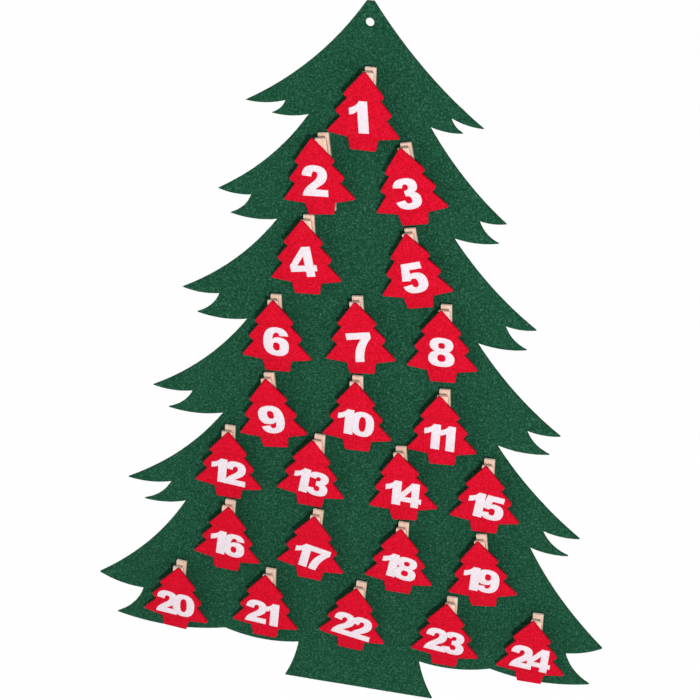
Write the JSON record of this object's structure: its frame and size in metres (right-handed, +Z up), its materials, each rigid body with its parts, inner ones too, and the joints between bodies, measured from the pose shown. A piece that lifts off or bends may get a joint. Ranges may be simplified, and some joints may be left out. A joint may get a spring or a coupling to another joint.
{
  "type": "felt advent calendar",
  "caption": "Felt fir-tree wall hanging with wooden clothes pegs that each hold a numbered felt tree and open when squeezed.",
  "frame": {"origin": "centre of the hanging hole at the panel's back face", "axes": "+Z up towards the tree's top, front faces -Y, +Y towards the wall, +X to the right seen from the front"},
  "size_m": [0.4485, 0.0237, 0.6167],
  "materials": {
    "green_felt": "matte",
    "red_felt": "matte",
    "pale_wood": "matte"
  },
  "bodies": {
    "panel": {"tree_panel": "green_felt", "peg_rear_01": "pale_wood", "peg_rear_02": "pale_wood", "peg_rear_03": "pale_wood", "peg_rear_04": "pale_wood", "peg_rear_05": "pale_wood", "peg_rear_06": "pale_wood", "peg_rear_07": "pale_wood", "peg_rear_08": "pale_wood", "peg_rear_09": "pale_wood", "peg_rear_10": "pale_wood", "peg_rear_11": "pale_wood", "peg_rear_12": "pale_wood", "peg_rear_13": "pale_wood", "peg_rear_14": "pale_wood", "peg_rear_15": "pale_wood", "peg_rear_16": "pale_wood", "peg_rear_17": "pale_wood", "peg_rear_18": "pale_wood", "peg_rear_19": "pale_wood", "peg_rear_20": "pale_wood", "peg_rear_21": "pale_wood", "peg_rear_22": "pale_wood", "peg_rear_23": "pale_wood", "peg_rear_24": "pale_wood"},
    "clip_01": {"tag_01": "red_felt"},
    "clip_02": {"tag_02": "red_felt"},
    "clip_03": {"tag_03": "red_felt"},
    "clip_04": {"tag_04": "red_felt"},
    "clip_05": {"tag_05": "red_felt"},
    "clip_06": {"tag_06": "red_felt"},
    "clip_07": {"tag_07": "red_felt"},
    "clip_08": {"tag_08": "red_felt"},
    "clip_09": {"tag_09": "red_felt"},
    "clip_10": {"tag_10": "red_felt"},
    "clip_11": {"tag_11": "red_felt"},
    "clip_12": {"tag_12": "red_felt"},
    "clip_13": {"tag_13": "red_felt"},
    "clip_14": {"tag_14": "red_felt"},
    "clip_15": {"tag_15": "red_felt"},
    "clip_16": {"tag_16": "red_felt"},
    "clip_17": {"tag_17": "red_felt"},
    "clip_18": {"tag_18": "red_felt"},
    "clip_19": {"tag_19": "red_felt"},
    "clip_20": {"tag_20": "red_felt"},
    "clip_21": {"tag_21": "red_felt"},
    "clip_22": {"tag_22": "red_felt"},
    "clip_23": {"tag_23": "red_felt"},
    "clip_24": {"tag_24": "red_felt"}
  },
  "joints": [
    {"name": "squeeze_01", "type": "hinge", "parent": "panel", "child": "clip_01", "pos_m": [0.00298, -0.00909, -0.07273], "axis": [-0.9998, 0, 0.0174], "range_deg": [0, 10], "stiffness_Nm_per_rad": 0.35, "springref_deg": -34.38},
    {"name": "squeeze_02", "type": "hinge", "parent": "panel", "child": "clip_02", "pos_m": [-0.02865, -0.00909, -0.12927], "axis": [-0.9945, 0, -0.1045], "range_deg": [0, 10], "stiffness_Nm_per_rad": 0.35, "springref_deg": -34.38},
    {"name": "squeeze_03", "type": "hinge", "parent": "panel", "child": "clip_03", "pos_m": [0.04122, -0.00909, -0.13008], "axis": [-0.9816, 0, -0.1908], "range_deg": [0, 10], "stiffness_Nm_per_rad": 0.35, "springref_deg": -34.38},
    {"name": "squeeze_04", "type": "hinge", "parent": "panel", "child": "clip_04", "pos_m": [-0.04066, -0.00909, -0.19943], "axis": [-0.9986, 0, -0.0523], "range_deg": [0, 10], "stiffness_Nm_per_rad": 0.35, "springref_deg": -34.38},
    {"name": "squeeze_05", "type": "hinge", "parent": "panel", "child": "clip_05", "pos_m": [0.04774, -0.00909, -0.20067], "axis": [-0.9816, 0, -0.1908], "range_deg": [0, 10], "stiffness_Nm_per_rad": 0.35, "springref_deg": -34.38},
    {"name": "squeeze_06", "type": "hinge", "parent": "panel", "child": "clip_06", "pos_m": [-0.06727, -0.00909, -0.2716], "axis": [-0.9994, 0, -0.0349], "range_deg": [0, 10], "stiffness_Nm_per_rad": 0.35, "springref_deg": -34.38},
    {"name": "squeeze_07", "type": "hinge", "parent": "panel", "child": "clip_07", "pos_m": [0.00298, -0.00909, -0.26461], "axis": [-0.9962, 0, -0.0872], "range_deg": [0, 10], "stiffness_Nm_per_rad": 0.35, "springref_deg": -34.38},
    {"name": "squeeze_08", "type": "hinge", "parent": "panel", "child": "clip_08", "pos_m": [0.07443, -0.00909, -0.2632], "axis": [-0.9994, 0, -0.0349], "range_deg": [0, 10], "stiffness_Nm_per_rad": 0.35, "springref_deg": -34.38},
    {"name": "squeeze_09", "type": "hinge", "parent": "panel", "child": "clip_09", "pos_m": [-0.06921, -0.00909, -0.34225], "axis": [-0.9945, 0, -0.1045], "range_deg": [0, 10], "stiffness_Nm_per_rad": 0.35, "springref_deg": -34.38},
    {"name": "squeeze_10", "type": "hinge", "parent": "panel", "child": "clip_10", "pos_m": [0.00302, -0.00909, -0.3353], "axis": [-0.9998, 0, -0.0174], "range_deg": [0, 10], "stiffness_Nm_per_rad": 0.35, "springref_deg": -34.38},
    {"name": "squeeze_11", "type": "hinge", "parent": "panel", "child": "clip_11", "pos_m": [0.07754, -0.00909, -0.33785], "axis": [-0.9986, 0, -0.0523], "range_deg": [0, 10], "stiffness_Nm_per_rad": 0.35, "springref_deg": -34.38},
    {"name": "squeeze_12", "type": "hinge", "parent": "panel", "child": "clip_12", "pos_m": [-0.10763, -0.00909, -0.39573], "axis": [-0.9994, 0, 0.0349], "range_deg": [0, 10], "stiffness_Nm_per_rad": 0.35, "springref_deg": -34.38},
    {"name": "squeeze_13", "type": "hinge", "parent": "panel", "child": "clip_13", "pos_m": [-0.03015, -0.00909, -0.39337], "axis": [-0.9986, 0, 0.0523], "range_deg": [0, 10], "stiffness_Nm_per_rad": 0.35, "springref_deg": -34.38},
    {"name": "squeeze_14", "type": "hinge", "parent": "panel", "child": "clip_14", "pos_m": [0.04467, -0.00909, -0.39446], "axis": [-0.9962, 0, -0.0872], "range_deg": [0, 10], "stiffness_Nm_per_rad": 0.35, "springref_deg": -34.38},
    {"name": "squeeze_15", "type": "hinge", "parent": "panel", "child": "clip_15", "pos_m": [0.1161, -0.00909, -0.39579], "axis": [-1, 0, 0], "range_deg": [0, 10], "stiffness_Nm_per_rad": 0.35, "springref_deg": -34.38},
    {"name": "squeeze_16", "type": "hinge", "parent": "panel", "child": "clip_16", "pos_m": [-0.10796, -0.00909, -0.46636], "axis": [-0.9976, 0, 0.0698], "range_deg": [0, 10], "stiffness_Nm_per_rad": 0.35, "springref_deg": -34.38},
    {"name": "squeeze_17", "type": "hinge", "parent": "panel", "child": "clip_17", "pos_m": [-0.03098, -0.00909, -0.46421], "axis": [-0.9962, 0, 0.0872], "range_deg": [0, 10], "stiffness_Nm_per_rad": 0.35, "springref_deg": -34.38},
    {"name": "squeeze_18", "type": "hinge", "parent": "panel", "child": "clip_18", "pos_m": [0.04547, -0.00909, -0.46509], "axis": [-0.9994, 0, 0.0349], "range_deg": [0, 10], "stiffness_Nm_per_rad": 0.35, "springref_deg": -34.38},
    {"name": "squeeze_19", "type": "hinge", "parent": "panel", "child": "clip_19", "pos_m": [0.11738, -0.00909, -0.46641], "axis": [-0.9945, 0, -0.1045], "range_deg": [0, 10], "stiffness_Nm_per_rad": 0.35, "springref_deg": -34.38},
    {"name": "squeeze_20", "type": "hinge", "parent": "panel", "child": "clip_20", "pos_m": [-0.15308, -0.00909, -0.53255], "axis": [-0.9945, 0, 0.1045], "range_deg": [0, 10], "stiffness_Nm_per_rad": 0.35, "springref_deg": -34.38},
    {"name": "squeeze_21", "type": "hinge", "parent": "panel", "child": "clip_21", "pos_m": [-0.06953, -0.00909, -0.52796], "axis": [-0.9994, 0, 0.0349], "range_deg": [0, 10], "stiffness_Nm_per_rad": 0.35, "springref_deg": -34.38},
    {"name": "squeeze_22", "type": "hinge", "parent": "panel", "child": "clip_22", "pos_m": [0.00902, -0.00909, -0.52804], "axis": [-0.9962, 0, 0.0872], "range_deg": [0, 10], "stiffness_Nm_per_rad": 0.35, "springref_deg": -34.38},
    {"name": "squeeze_23", "type": "hinge", "parent": "panel", "child": "clip_23", "pos_m": [0.09128, -0.00909, -0.53044], "axis": [-0.9998, 0, 0.0174], "range_deg": [0, 10], "stiffness_Nm_per_rad": 0.35, "springref_deg": -34.38},
    {"name": "squeeze_24", "type": "hinge", "parent": "panel", "child": "clip_24", "pos_m": [0.16538, -0.00909, -0.53483], "axis": [-0.9998, 0, 0.0174], "range_deg": [0, 10], "stiffness_Nm_per_rad": 0.35, "springref_deg": -34.38}
  ]
}
